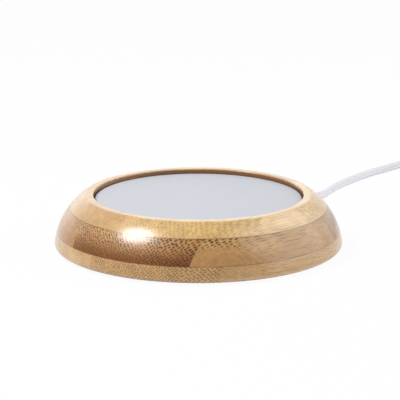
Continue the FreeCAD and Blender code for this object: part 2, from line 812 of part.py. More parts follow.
def make_plug(entry, heading):
    """The plug, built along +Y from the point where the lead enters it, then turned into place."""
    boot_end = plug_boot_length
    body_end = boot_end + plug_body_length
    shell_start = body_end - shell_sunk
    shell_end = shell_start + shell_length
    half_width = shell_width / 2
    half_height = shell_height / 2

    boot_tip_radius = cord_radius + plug_boot_tip_wall
    boot = ribbed_cone(0, boot_end, boot_tip_radius, plug_boot_root_diameter / 2, 0)

    half_body = plug_body_width / 2
    half_thickness = plug_body_thickness / 2
    body = block(-half_body, half_body, boot_end, body_end, -half_thickness, half_thickness)
    body = rounded_along(Vector(0, 1, 0), body, plug_body_round)
    rims = [edge for edge in body.Edges if edge.BoundBox.YLength < tiny]
    body = body.makeFillet(plug_body_edge_round, rims)
    grip_middle = boot_end + grip_place
    for level in (half_thickness - grip_depth, -half_thickness - 1):
        grip = Part.makeCylinder(grip_width / 2, grip_depth + 1, Vector(0, grip_middle, level))
        body = body.cut(grip)
    pocket = block(-half_width, half_width, shell_start, body_end, -half_height, half_height)
    body = body.cut(pocket)

    inner_width = half_width - shell_wall
    inner_height = half_height - shell_wall
    tube = block(-half_width, half_width, shell_start, shell_end, -half_height, half_height)
    tube = rounded_along(Vector(0, 1, 0), tube, shell_corner_round)
    tunnel = block(-inner_width, inner_width, shell_start, shell_end, -inner_height, inner_height)
    shell = tube.cut(tunnel)
    window_y = shell_end - window_from_tip
    half_window = window_width / 2
    for x in (-window_spacing / 2, window_spacing / 2):
        across = (x - half_window, x + half_window)
        window = block(*across, window_y - window_length, window_y, -half_height, half_height)
        shell = shell.cut(window)

    wide = inner_width - insulator_clearance
    floor = -inner_height + insulator_clearance
    tongue_top = floor + tongue_thickness
    roof = inner_height - insulator_clearance
    rear_end = shell_start + rear_block_length
    tongue = block(-wide, wide, shell_start, shell_end - insulator_setback, floor, tongue_top)
    rear = block(-wide, wide, shell_start, rear_end, floor, roof)
    insulator = tongue.fuse(rear).removeSplitter()

    contacts = []
    tip = shell_end - insulator_setback - contact_setback
    for x in contact_places:
        across = (x - contact_width / 2, x + contact_width / 2)
        contact_top = tongue_top + contact_thickness
        contacts.append(block(*across, tip - contact_length, tip, tongue_top, contact_top))

    spin = math.degrees(math.atan2(heading.y, heading.x)) - 90
    pieces = (
        ("plug_boot", [boot]),
        ("plug_body", [body]),
        ("plug_shell", [shell]),
        ("plug_insulator", [insulator]),
        ("plug_contacts", contacts),
    )
    for name, solids in pieces:
        for solid in solids:
            solid.rotate(Vector(0, 0, 0), Vector(0, 0, 1), spin)
            solid.translate(entry)
        save(name, *solids)
    print(f"plug: {shell_end:.1f} long, {entry.z - half_thickness:.2f} above the table")


os.makedirs("parts", exist_ok=True)
make_ring()
make_hot_plate()
make_heater()
make_wiring()
make_base()
make_grommet()
make_free_lead()
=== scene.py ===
# %% [markdown]
# An electric mug warmer, finished in Blender
# The construction of this object is already there as separate pieces: a bamboo ring glued up from three
# plies, a coated metal plate sunk into it, a closed base, and a thin white lead with its plug.
# This lesson gives every piece its surface, lays the lead out as one smooth line, and lights the whole
# like a small object on a white table. Everything is in metres, and the object stands on the plane z = 0.

# %% Load the pieces
import bpy
import math
from mathutils import Matrix, Vector


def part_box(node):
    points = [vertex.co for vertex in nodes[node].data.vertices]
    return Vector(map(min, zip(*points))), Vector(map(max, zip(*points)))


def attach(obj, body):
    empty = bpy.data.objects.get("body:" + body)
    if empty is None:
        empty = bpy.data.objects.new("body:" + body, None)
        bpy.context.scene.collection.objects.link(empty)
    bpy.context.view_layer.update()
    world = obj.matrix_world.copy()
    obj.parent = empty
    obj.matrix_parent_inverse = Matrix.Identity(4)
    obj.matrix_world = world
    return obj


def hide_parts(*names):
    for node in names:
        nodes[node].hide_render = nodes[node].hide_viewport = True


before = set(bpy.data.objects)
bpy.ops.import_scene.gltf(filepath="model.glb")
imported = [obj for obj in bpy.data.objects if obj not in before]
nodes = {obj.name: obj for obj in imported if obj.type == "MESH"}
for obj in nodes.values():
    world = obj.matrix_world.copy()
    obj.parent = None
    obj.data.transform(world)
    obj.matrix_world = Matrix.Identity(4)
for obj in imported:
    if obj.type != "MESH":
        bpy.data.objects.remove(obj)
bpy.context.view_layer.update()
mm = 0.001

# %% [markdown]
# The camera
# A product picture like this one is taken from far off with a long lens, so that the ring's ellipse stays
# calm. The camera stands 740 mm away and looks down by 15.4 degrees. The object sits a little below the
# middle of the picture, so the lens points at a place above the plate instead of at the object's middle.

# %% Place the camera
camera_distance = 740 * mm
camera_azimuth = math.radians(34.0)
camera_elevation = math.radians(15.358)
camera_lens = 173.52
camera_target = Vector((0.5 * mm, 0.33 * mm, 18.16 * mm))
ring_foot = Vector((0.0, 0.0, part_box("ring_bottom_ply")[0].z))

towards_camera = Vector((
    math.sin(camera_azimuth) * math.cos(camera_elevation),
    -math.cos(camera_azimuth) * math.cos(camera_elevation),
    math.sin(camera_elevation),
))
camera = bpy.data.objects.new("camera", bpy.data.cameras.new("camera"))
bpy.context.scene.collection.objects.link(camera)
camera.data.lens = camera_lens
camera.location = ring_foot + towards_camera * camera_distance
aim = camera_target - camera.location
camera.rotation_euler = aim.to_track_quat("-Z", "Y").to_euler()
bpy.context.scene.camera = camera
print("camera at", tuple(round(value, 4) for value in camera.location))

# %% [markdown]
# The route of the lead
# A real lead is one piece of soft PVC: it leaves the grommet straight, sinks to the table under its own
# weight and wanders a little. Its spare length is wound in four layers and tied, and the plug lies beside
# the coil. A NURBS curve of order 3 is used, because its control points are simply the places that the
# lead passes, and the line between them bends as evenly as a real lead does.

# %% The stretch from the grommet to the coil
lead_diameter = 3.2 * mm
# The lead's middle is this high where it lies on the table, and this high where the tie passes under it.
lying = 1.62 * mm
lifted = 2.52 * mm
lead_exit = Vector((0.0, 66.0 * mm, 6.9 * mm))
run_route = (
    (0.0, 0.0, 6.9 * mm),
    (0.0, 4.5 * mm, 6.9 * mm),
    (0.8 * mm, 10.5 * mm, 5.6 * mm),
    (1.8 * mm, 17.0 * mm, 2.9 * mm),
    (1.8 * mm, 23.5 * mm, lying),
    (0.2 * mm, 32.0 * mm, lying),
    (-1.5 * mm, 43.0 * mm, lying),
    (-2.2 * mm, 56.0 * mm, lying),
    (-1.9 * mm, 70.5 * mm, lying),
    (0.4 * mm, 85.5 * mm, lying),
    (2.4 * mm, 100.5 * mm, lying),
    (1.2 * mm, 114.0 * mm, lifted),
    (1.0 * mm, 124.0 * mm, lifted),
)
run_points = [Vector((x, lead_exit.y + y, z)) for x, y, z in run_route]
print("run:", len(run_points), "points")

# %% [markdown]
# The coil
# The turns spiral in, climb a layer, spiral out, and so on. Each layer's pitch is the lead's thickness and
# a small gap. The climb takes half a turn about each place where the spiral reverses.

# %% The coil's turns as more points of the same line
coil_radius = 22.7 * mm
coil_pitch = lead_diameter + 0.5 * mm
coil_turns = 8.5
coil_reversals = (2.0, 4.25, 6.5)
points_per_turn = 16
climb_turns = 0.5


def coil_place(turn):
    """The radius and the height on the coil after so many turns."""
    radius, begin, inwards, height = coil_radius, 0.0, -1, lifted
    for mark in coil_reversals:
        climbed = min(max((turn - mark) / climb_turns + 0.5, 0.0), 1.0)
        height += coil_pitch * climbed ** 2 * (3 - 2 * climbed)
        if turn > mark:
            radius += inwards * coil_pitch * (mark - begin)
            begin, inwards = mark, -inwards
    return radius + inwards * coil_pitch * (turn - begin), height


heading = (run_points[-1] - run_points[-2]).normalized()
lead_in = run_points[-1] + heading * lead_diameter
first_way = math.atan2(2 * math.pi * coil_radius, coil_pitch)
swing = Matrix.Rotation(math.atan2(heading.y, heading.x) - first_way, 3, "Z")
coil_centre = lead_in + swing @ Vector((coil_radius, 0.0, 0.0))
coil_points = []
steps = round(coil_turns * points_per_turn)
for step in range(steps + 1):
    turn = step / points_per_turn
    radius, height = coil_place(turn)
    angle = 2 * math.pi * turn
    place = coil_centre + swing @ Vector((-math.cos(angle), math.sin(angle), 0.0)) * radius
    place.z = height
    coil_points.append(place)
print("coil:", len(coil_points), "points about", tuple(round(value, 4) for value in coil_centre))

# %% [markdown]
# Down to the plug
# The lead leaves the coil's upper layer the way that it was winding, sinks in an even slope and comes level
# before it enters the plug's boot, as a slightly stiff lead does. Each place is given by how far it lies
# across and ahead of the coil's end, and by its part of the drop.

# %% The stretch from the coil down to the plug
plug_low, plug_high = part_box("plug_body")
plug_axis_z = (plug_low.z + plug_high.z) / 2
turn_angle = 2 * math.pi * coil_turns
last_way = swing @ Vector((
    math.sin(turn_angle) * 2 * math.pi * radius - math.cos(turn_angle) * coil_pitch,
    math.cos(turn_angle) * 2 * math.pi * radius + math.sin(turn_angle) * coil_pitch,
    0.0,
))
last_way.normalize()
coil_end = coil_points[-1] + last_way * lead_diameter
beside = Vector((-last_way.y, last_way.x, 0.0))
drop = coil_end.z - plug_axis_z
end_route = (
    (0.0, 0.0, 0.0),
    (0.0, 6.5 * mm, 0.0),
    (0.9 * mm, 14.0 * mm, 0.27),
    (2.3 * mm, 22.5 * mm, 0.72),
    (3.3 * mm, 31.5 * mm, 1.0),
    (3.5 * mm, 39.5 * mm, 1.0),
)
end_points = []
for across, ahead, down in end_route:
    end_points.append(coil_end + beside * across + last_way * ahead - Vector((0.0, 0.0, drop * down)))
print("end:", len(end_points), "points, down by", round(drop / mm, 2), "mm")

# %% [markdown]
# One curve The three stretches become one curve with a round profile, because a lead that is one piece has
# no seams. Each point carries the lead's radius and the profile itself is 1 m deep, so that the two
# multiplied give the real thickness.

# %% One curve through all of it
curve = bpy.data.curves.new("lead", "CURVE")
curve.dimensions = "3D"
spline = curve.splines.new("NURBS")
route = run_points + coil_points + end_points
spline.points.add(len(route) - 1)
for point, place in zip(spline.points, route):
    point.co = (*place, 1.0)
    point.radius = lead_diameter / 2
spline.order_u = 3
spline.use_endpoint_u = True
curve.resolution_u = 6
curve.bevel_depth = 1.0
curve.bevel_resolution = 6
curve.use_fill_caps = True
lead = bpy.data.objects.new("lead", curve)
bpy.context.scene.collection.objects.link(lead)
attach(lead, "root")
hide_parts("cord_run", "cord_coil", "cord_end_run")
print("lead:", len(route), "control points")

# %% [markdown]
# Colours
# A colour is written here as the sRGB hex value that one reads off a picture. A shader works on linear
# light, in which a middle grey is a much smaller number, so one function converts them.

# %% From hex to linear


def linear(code):
    """The linear colour of an sRGB hex value."""
    channels = []
    for start in (1, 3, 5):
        value = int(code[start:start + 2], 16) / 255
        channels.append(value / 12.92 if value <= 0.04045 else ((value + 0.055) / 1.055) ** 2.4)
    return (*channels, 1.0)


print("a grey of 50 % is", tuple(round(value, 3) for value in linear("#808080")), "in linear light")

# %% [markdown]
# Nodes
# One small function adds any node with its settings and links, so a material reads as a list of what is
# done to it. Inputs are given by name or by number. A Mix node of colours takes its factor at 0 and its two
# colours at 6 and 7, and gives its result at 2. A Map Range node takes, from 0 to 4, the value, the two ends
# that it comes from and the two that it goes to, and its smooth step gives a change soft ends.

# %% One function for every node
factor_in, colour_a, colour_b, colour_out = 0, 6, 7, 2
soft_ends = {"interpolation_type": "SMOOTHSTEP"}


def add(tree, kind, inputs=None, **settings):
    """Adds a node. An input is a value or the socket that feeds it; settings are the node's own."""
    node = tree.nodes.new(kind)
    for name, value in settings.items():
        setattr(node, name, value)
    for name, value in (inputs or {}).items():
        if isinstance(value, bpy.types.NodeSocket):
            tree.links.new(value, node.inputs[name])
        else:
            node.inputs[name].default_value = value
    return node


def new_material(name):
    """An empty material with its output node."""
    material = bpy.data.materials.new(name)
    material.use_nodes = True
    material.node_tree.nodes.clear()
    output = add(material.node_tree, "ShaderNodeOutputMaterial")
    return material, material.node_tree, output


def paint(material, *names):
    """Gives the named pieces one material."""
    for name in names:
        data = nodes[name].data
        data.materials.clear()
        data.materials.append(material)
    print(material.name, "on", ", ".join(names))


print("materials before the first is made:", len(bpy.data.materials))

# %% [markdown]
# Bamboo, glued up, turned and lacquered
# Bamboo isn't wood with rings: its wall is pale soft tissue with stiff dark fibre bundles in it, all of
# them along the stalk. Cut across, they are dots a millimetre apart; cut along, they are long streaks; and
# a turned ring shows every stage between the two. So the pattern is made once, as a bundle of parallel
# fibres in space, and the ring's own shape cuts it into dots or streaks, as the lathe does.
# The fibres aren't dead straight. They sway by up to a millimetre, in waves of some 8 mm across them and
# 33 mm along them.

# %% The fibres in space
fibre_turn = math.radians(14.0)
sway_waves = (0.13, 0.03, 0.13)
sway_size = (2.0, 0.0, 1.2)


def fibre_space(tree):
    """Places in mm with X across the fibres, Y along them and Z up: first exact, then slightly wavy."""
    place = add(tree, "ShaderNodeTexCoord").outputs["Object"]
    turned = add(
        tree, "ShaderNodeVectorRotate", {"Vector": place, "Angle": fibre_turn}, rotation_type="Z_AXIS",
    ).outputs[0]
    exact = add(tree, "ShaderNodeVectorMath", {0: turned, "Scale": 1 / mm}, operation="SCALE").outputs[0]
    slow = add(tree, "ShaderNodeVectorMath", {0: exact, 1: sway_waves}, operation="MULTIPLY").outputs[0]
    drift = add(tree, "ShaderNodeTexNoise", {"Vector": slow, "Scale": 1.0, "Detail": 1.0}).outputs["Color"]
    centred = add(
        tree, "ShaderNodeVectorMath", {0: drift, 1: (-0.5, -0.5, -0.5)}, operation="ADD",
    ).outputs[0]
    sway = add(tree, "ShaderNodeVectorMath", {0: centred, 1: sway_size}, operation="MULTIPLY").outputs[0]
    return exact, add(tree, "ShaderNodeVectorMath", {0: exact, 1: sway}, operation="ADD").outputs[0]


print("fibres lie", round(math.degrees(fibre_turn)), "degrees off the lead's direction")

# %% [markdown]
# The bundles
# In a stalk the bundles stand in staggered rows, each a little off its place. A flat Voronoi pattern gives
# a cell to each bundle, and its Randomness sets how far the bundles stray. The pattern lies across the
# fibres, so it runs along them without an end. Its grid is turned by 45 degrees, which staggers the rows,
# and a seed moves it to other cells, so that no two plies are alike.

# %% Dots and streaks from one pattern
stray = 0.42
rim_outside, rim_inside = 0.12, 0.08


def bundles(tree, space, spacing, radius, seed):
    """How much of a bundle is at each place, from 0 to 1, for cells that are a spacing wide (mm)."""
    upright = add(
        tree, "ShaderNodeVectorRotate", {"Vector": space, "Angle": math.radians(-90)},
        rotation_type="X_AXIS",
    ).outputs[0]
    staggered = add(
        tree, "ShaderNodeVectorRotate", {"Vector": upright, "Angle": math.radians(45)},
        rotation_type="Z_AXIS",
    ).outputs[0]
    moved = add(
        tree, "ShaderNodeVectorMath", {0: staggered, 1: (seed, seed * 1.7, 0.0)}, operation="ADD",
    ).outputs[0]
    off_middle = add(
        tree, "ShaderNodeTexVoronoi", {"Vector": moved, "Scale": 1 / spacing, "Randomness": stray},
        voronoi_dimensions="2D", feature="F1",
    ).outputs["Distance"]
    rim = add(tree, "ShaderNodeMath", {0: radius, 1: rim_outside}, operation="ADD").outputs[0]
    core = add(tree, "ShaderNodeMath", {0: radius, 1: -rim_inside}, operation="ADD").outputs[0]
    return add(tree, "ShaderNodeMapRange", {0: off_middle, 1: rim, 2: core}, **soft_ends).outputs[0]


print("a bundle's soft rim is", round(rim_outside + rim_inside, 2), "cells wide")

# %% [markdown]
# The strips of a ply
# A ply is glued from strips that lie side by side. Each strip is a slice of another stalk: near the stalk's
# skin the bundles are dense and dark, and near its hollow they are few, so every strip has its own tone and
# its own change from bottom to top. A strip can also change along its fibres, where the stalk did.

# %% What a strip is
joint_half = 0.08


def strip(begin, tones, heights, force, radius, lean=0.0, fade=None, soft=joint_half):
    """One strip: where it begins across the fibres (mm), its tones and, between two heights (mm), the
    strength and the radius (in parts of a cell) of its bundles, below and above. The joint may lean. A
    strip may fade between two places along the fibres (mm) to a part of its strength and of its tone. A
    large soft (mm) makes a change of tone within one piece instead of a joint between two."""
    return {
        "begin": begin, "tones": tones, "heights": heights, "force": force, "radius": radius,
        "lean": lean, "fade": fade, "soft": soft,
    }


print("a glued joint between strips is drawn", 2 * joint_half, "mm wide")

# %% [markdown]
# A strip by itself
# Between its two heights a strip goes smoothly from its lower tone to its upper one, and so do the strength
# and the size of its bundles. Where it fades along its fibres, its strength and its tone are scaled down.

# %% One strip's ground and bundles


def one_strip(tree, part, along, height):
    """A strip's own ground colour, and the strength and the radius of its bundles."""
    start, end = part["heights"]
    rise = add(tree, "ShaderNodeMapRange", {0: height, 1: start, 2: end}, **soft_ends).outputs[0]
    below, above = (linear(tone) for tone in part["tones"])
    tone = add(
        tree, "ShaderNodeMix", {factor_in: rise, colour_a: below, colour_b: above}, data_type="RGBA",
    ).outputs[colour_out]
    force, radius = (
        add(
            tree, "ShaderNodeMapRange", {0: height, 1: start, 2: end, 3: low, 4: high}, **soft_ends,
        ).outputs[0]
        for low, high in (part["force"], part["radius"])
    )
    if part["fade"]:
        start, end, kept_force, kept_tone = part["fade"]
        force_left, tone_left = (
            add(
                tree, "ShaderNodeMapRange", {0: along, 1: start, 2: end, 3: 1.0, 4: kept}, **soft_ends,
            ).outputs[0]
            for kept in (kept_force, kept_tone)
        )
        force = add(tree, "ShaderNodeMath", {0: force, 1: force_left}, operation="MULTIPLY").outputs[0]
        tone = add(tree, "ShaderNodeVectorMath", {0: tone, "Scale": tone_left}, operation="SCALE").outputs[0]
    return tone, force, radius


# %% [markdown]
# Side by side
# The strips are laid like planks on a floor: each one covers all that lies beyond its joint with the one
# before it, so only the place where it begins is needed. The first has to begin outside the ring. A joint
# that leans does so about one height, the middle of the ring.

# %% Strips side by side
middle_height = 12.0


def lay_strips(tree, strips, across, along, height):
    """The ground colour of a whole ply, and the strength and the radius of its bundles."""
    raised = add(tree, "ShaderNodeMath", {0: height, 1: -middle_height}, operation="ADD").outputs[0]
    ground, strength, radius = one_strip(tree, strips[0], along, height)
    for part in strips[1:]:
        tone, force, own_radius = one_strip(tree, part, along, height)
        shifted = add(
            tree, "ShaderNodeMath", {0: raised, 1: part["lean"], 2: across}, operation="MULTIPLY_ADD",
        ).outputs[0]
        start, end = part["begin"] - part["soft"], part["begin"] + part["soft"]
        beyond = add(tree, "ShaderNodeMapRange", {0: shifted, 1: start, 2: end}, **soft_ends).outputs[0]
        ground = add(
            tree, "ShaderNodeMix", {factor_in: beyond, colour_a: ground, colour_b: tone}, data_type="RGBA",
        ).outputs[colour_out]
        strength = add(tree, "ShaderNodeMix", {0: beyond, 2: strength, 3: force}).outputs[0]
        radius = add(tree, "ShaderNodeMix", {0: beyond, 2: radius, 3: own_radius}).outputs[0]
    return ground, strength, radius


print("joints lean about a height of", middle_height, "mm")

# %% [markdown]
# The unevenness of the soft tissue
# Three things make it alive: patches some 6 mm wide and 33 mm long, streaks about 1 mm wide, and single
# fibres 0.25 mm thick. A noise pattern gives each of them, drawn out along the fibres. Real fibres are much
# finer, but they are drawn as coarse as that, because thinner ones wouldn't show at this distance.

# %% Patches, single fibres and streaks
noise_low, noise_high = 0.3, 0.7
unevenness = (
    # fineness across, along and up (1/mm), scale and detail of the noise, darkest and palest shade
    ((0.16, 0.03, 0.3), 1.0, 2.0, (0.93, 1.07)),  # patches
    ((4.0, 0.1, 4.0), 1.0, 2.0, (0.92, 1.06)),  # single fibres
    ((1.0, 0.02, 1.0), 0.9, 1.0, (0.91, 1.07)),  # streaks
)


def uneven(tree, space):
    """The patches by themselves, and the shade of all three together."""
    fields, shades = [], []
    for fineness, scale, detail, (dark, pale) in unevenness:
        drawn_out = add(tree, "ShaderNodeVectorMath", {0: space, 1: fineness}, operation="MULTIPLY")
        field = add(
            tree, "ShaderNodeTexNoise", {"Vector": drawn_out.outputs[0], "Scale": scale, "Detail": detail},
        ).outputs["Fac"]
        shade = add(
            tree, "ShaderNodeMapRange", {0: field, 1: noise_low, 2: noise_high, 3: dark, 4: pale},
            **soft_ends,
        ).outputs[0]
        fields.append(field)
        shades.append(shade)
    together = shades[0]
    for shade in shades[1:]:
        together = add(tree, "ShaderNodeMath", {0: together, 1: shade}, operation="MULTIPLY").outputs[0]
    return fields[0], together


print("layers of unevenness:", len(unevenness))

# %% [markdown]
# Glue lines and painted shade
# The glue lines between the plies are 0.12 mm of dark resin. They are drawn 0.4 mm wide, because thinner
# ones wouldn't show. Just above the ring's lower edge the wood is darkened as painted shade, where the table
# would shade it, and the recess wall is darkened as painted shade of the narrow recess.

# %% Glue lines, painted shade at the foot and painted shade on the recess wall
# Of these tones the last two are painted shade: one just above the ring's foot, one on the recess wall.
resin_tone, foot_shade_tone, recess_shade_tone = (linear(code) for code in ("#6E4420", "#5F452C", "#8A5A2A"))
# How far each mark reaches and where it is full (mm), and how much of its tone it then has.
resin_edge, resin_core, resin_share = 0.2, 0.04, 0.6
# Painted shade above the ring's foot, and painted shade on the recess wall below its mouth:
foot_shade_end, foot_shade_full, foot_shade_share = 0.9, 0.15, 0.7
wall_end, wall_full = 0.3, 0.05
recess_shade_begin, recess_shade_full = 0.25, 0.6


def glue_lines_and_painted_shade(tree, exact, height, seams, foot, recess):
    """Glue lines and painted shade of a ply, each as how much of it is at each place, and its tone. Measures
    are in mm.
    """
    marks = []
    for seam in seams:
        above = add(tree, "ShaderNodeMath", {0: height, 1: -seam}, operation="ADD").outputs[0]
        off = add(tree, "ShaderNodeMath", {0: above}, operation="ABSOLUTE").outputs[0]
        line = add(
            tree, "ShaderNodeMapRange", {0: off, 1: resin_edge, 2: resin_core, 3: 0.0, 4: resin_share},
            **soft_ends,
        ).outputs[0]
        marks.append((line, resin_tone))
    # Painted shade just above the ring's lower edge, where the table would shade it.
    if foot is not None:
        start, end = foot + foot_shade_end, foot + foot_shade_full
        foot_shade = add(
            tree, "ShaderNodeMapRange", {0: height, 1: start, 2: end, 3: 0.0, 4: foot_shade_share}, **soft_ends,
        ).outputs[0]
        marks.append((foot_shade, foot_shade_tone))
    # Painted shade on the recess wall, from just below its mouth downwards.
    if recess is not None:
        radius, mouth = recess
        level = add(tree, "ShaderNodeVectorMath", {0: exact, 1: (1.0, 1.0, 0.0)}, operation="MULTIPLY")
        reach = add(tree, "ShaderNodeVectorMath", {0: level.outputs[0]}, operation="LENGTH").outputs["Value"]
        start, end = radius + wall_end, radius + wall_full
        wall = add(tree, "ShaderNodeMapRange", {0: reach, 1: start, 2: end}, **soft_ends).outputs[0]
        start, end = mouth - recess_shade_begin, mouth - recess_shade_full
        lower = add(tree, "ShaderNodeMapRange", {0: height, 1: start, 2: end}, **soft_ends).outputs[0]
        recess_shade = add(tree, "ShaderNodeMath", {0: wall, 1: lower}, operation="MULTIPLY").outputs[0]
        marks.append((recess_shade, recess_shade_tone))
    return marks


print("glue lines are drawn", 2 * resin_edge, "mm wide, the worn edge is", foot_shade_end, "mm high")

# %% [markdown]
# The colour of a ply
# Here everything comes together: the strips' ground with its unevenness, the bundles over it, and the glue
# lines and the painted shade over both. The bundles are less strong where a patch is pale, because both come
# from how dense the stalk was there.

# %% Ground, bundles and marks
pale_begin, pale_full, left_in_pale = 0.35, 0.65, 0.7


def ply_colour(tree, strips, spacing, bundle_tone, seed, seams, foot, recess):
    """The colour of a ply, and how much of a bundle is at each place."""
    exact, space = fibre_space(tree)
    axes = add(tree, "ShaderNodeSeparateXYZ", {0: exact}).outputs
    ground, strength, radius = lay_strips(tree, strips, axes["X"], axes["Y"], axes["Z"])
    patch, shade = uneven(tree, space)
    colour = add(tree, "ShaderNodeVectorMath", {0: ground, "Scale": shade}, operation="SCALE").outputs[0]

    dots = bundles(tree, space, spacing, radius, seed)
    share = add(tree, "ShaderNodeMath", {0: dots, 1: strength}, operation="MULTIPLY").outputs[0]
    weaker = add(
        tree, "ShaderNodeMapRange", {0: patch, 1: pale_begin, 2: pale_full, 3: 1.0, 4: left_in_pale},
        **soft_ends,
    ).outputs[0]
    share = add(tree, "ShaderNodeMath", {0: share, 1: weaker}, operation="MULTIPLY").outputs[0]

    layers = [(share, linear(bundle_tone))]
    layers += glue_lines_and_painted_shade(tree, exact, axes["Z"], seams, foot, recess)
    for amount, tone in layers:
        colour = add(
            tree, "ShaderNodeMix", {factor_in: amount, colour_a: colour, colour_b: tone}, data_type="RGBA",
        ).outputs[colour_out]
    return colour, dots


print("in a pale patch the bundles keep", left_in_pale, "of their strength")

# %% [markdown]
# The lacquer
# A clear lacquer lies over the bamboo: glossy, with an IOR of 1.55 as hard clear coats have, and thin enough
# that the fibres are just felt through it. It gives the eye a bright lamp spot over deep colours. Under it,
# the wood's own surface is duller, and its bundles stand a hundredth of a millimetre lower than the rest.

# %% A whole ply's material
wood_relief, coat_relief, relief_kept = 0.02 * mm, 0.008 * mm, 0.5


def lacquered_bamboo(name, strips, spacing, bundle_tone, seed, seams, foot=None, recess=None):
    """Builds a ply's material. The seams are the heights of the ply's glued faces, the foot is the height of
    the ring's lower edge, and the recess gives its wall's radius and its mouth's height (all mm)."""
    material, tree, output = new_material(name)
    colour, dots = ply_colour(tree, strips, spacing, bundle_tone, seed, seams, foot, recess)
    sunk = add(tree, "ShaderNodeMath", {0: dots, 1: -1.0}, operation="MULTIPLY").outputs[0]
    wood, coat = (
        add(tree, "ShaderNodeBump", {"Height": sunk, "Distance": relief, "Strength": relief_kept}).outputs[0]
        for relief in (wood_relief, coat_relief)
    )
    surface = add(
        tree, "ShaderNodeBsdfPrincipled",
        {
            "Base Color": colour, "Roughness": 0.45, "IOR": 1.5, "Specular IOR Level": 0.35,
            "Coat Weight": 1.0, "Coat Roughness": 0.20, "Coat IOR": 1.55,
            "Normal": wood, "Coat Normal": coat,
        },
    )
    tree.links.new(surface.outputs[0], output.inputs["Surface"])
    return material


print("the wood's relief is", round(relief_kept * wood_relief / mm, 3), "mm deep and the lacquer's",
      round(relief_kept * coat_relief / mm, 3), "mm")

# %% [markdown]
# The upper ply
# Natural bamboo, pale and yellow, with fine brown bundles. It gives the eye the bright lip of the ring. Its
# seams and edges are read from the pieces themselves. Bundles in a stalk stand 0.8 to 1 mm apart.

# %% Where the seams are
table_to_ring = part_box("ring_bottom_ply")[0].z / mm
lower_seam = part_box("ring_middle_ply")[0].z / mm
upper_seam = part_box("ring_top_ply")[0].z / mm
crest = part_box("ring_top_ply")[1].z / mm
recess_radius = 40.0
print("seams at", round(lower_seam, 2), "and", round(upper_seam, 2), "mm, crest at", round(crest, 2), "mm")

# %% The pale upper ply
light_strips = (
    strip(-60.0, ("#D1A465", "#D1A465"), (16.0, 21.0), (0.40, 0.35), (0.22, 0.26)),
    strip(9.0, ("#E4BB78", "#E8C181"), (16.0, 21.0), (0.55, 0.55), (0.24, 0.29), soft=5.0),
    strip(42.5, ("#F0CD98", "#F3D3A1"), (16.0, 21.0), (0.45, 0.45), (0.20, 0.27), soft=3.0),
)
# The recess argument gives this ply painted shade on its recess wall.
light_bamboo = lacquered_bamboo(
    "light_bamboo_turned_lacquered", light_strips, spacing=0.84, bundle_tone="#9C6E33", seed=3.0,
    seams=(upper_seam,), recess=(recess_radius, crest),
)
paint(light_bamboo, "ring_top_ply")

# %% [markdown]
# The middle ply
# Steamed bamboo: steam turns the sugar in it to caramel, which makes it brown, with nearly black bundles. It
# gives the eye the ring's dark belt and its coarsest dots. A joint between two strips and a few changes of
# tone are laid where they break the belt up.

# %% The steamed middle ply
steamed_strips = (
    strip(-60.0, ("#C08C50", "#C6945A"), (7.0, 16.0), (0.65, 0.65), (0.24, 0.30)),
    strip(-10.5, ("#905620", "#D49F64"), (7.3, 15.0), (0.80, 1.0), (0.28, 0.30)),
    strip(29.0, ("#864D1D", "#C48E52"), (7.3, 15.0), (0.85, 1.0), (0.29, 0.32), soft=6.0),
    strip(
        37.9, ("#C5925B", "#CFA165"), (10.5, 15.0), (0.25, 1.0), (0.05, 0.30),
        fade=(-4.0, 8.0, 0.1, 0.74),
    ),
    strip(
        46.0, ("#C5965F", "#CCA169"), (8.0, 16.0), (0.45, 0.5), (0.14, 0.25),
        lean=0.4, fade=(0.0, 14.0, 0.4, 1.0),
    ),
)
steamed_bamboo = lacquered_bamboo(
    "steamed_bamboo_turned_lacquered", steamed_strips, spacing=0.95, bundle_tone="#4A260C", seed=11.0,
    seams=(lower_seam, upper_seam),
)
paint(steamed_bamboo, "ring_middle_ply")

# %% [markdown]
# The lower ply
# Natural bamboo again, but from near the stalk's skin, so it is tan, with dense fine dots. It gives the eye
# a calm foot under the dark belt.

# %% The tan lower ply
tan_strips = (
    strip(-60.0, ("#D6AD78", "#D6AD78"), (1.0, 7.0), (0.50, 0.50), (0.22, 0.24)),
    strip(2.0, ("#D0A268", "#D4A976"), (1.0, 7.0), (0.85, 0.75), (0.28, 0.28)),
    strip(45.5, ("#D0A672", "#D0A672"), (1.0, 7.0), (0.40, 0.35), (0.22, 0.22)),
)
# The foot argument gives this ply painted shade along its lower edge.
tan_bamboo = lacquered_bamboo(
    "tan_bamboo_turned_lacquered", tan_strips, spacing=0.84, bundle_tone="#6B441F", seed=23.0,
    seams=(lower_seam,), foot=table_to_ring,
)
paint(tan_bamboo, "ring_bottom_ply")

# %% [markdown]
# Simple finishes
# A moulded or coated surface is never perfectly even: it has a fine grain from its mould or its spray, and
# slight changes of gloss. One function gives such a surface, with the grain's size in millimetres. Real
# grains of this kind are a tenth of a millimetre and less, while a pixel of the picture is 0.4 mm on the
# object, so they are drawn as coarse as 0.25 to 0.8 mm, which just shows. The gloss wanders by a twelfth
# over some 14 mm, as far as a mould's polish does. Plastics and metals keep the shader's own IOR of 1.5,
# which is what most plastics have.

# %% One function for grained surfaces
gloss_patch, gloss_spread = 14 * mm, 0.08
sum_low, sum_high = 0.7, 1.3


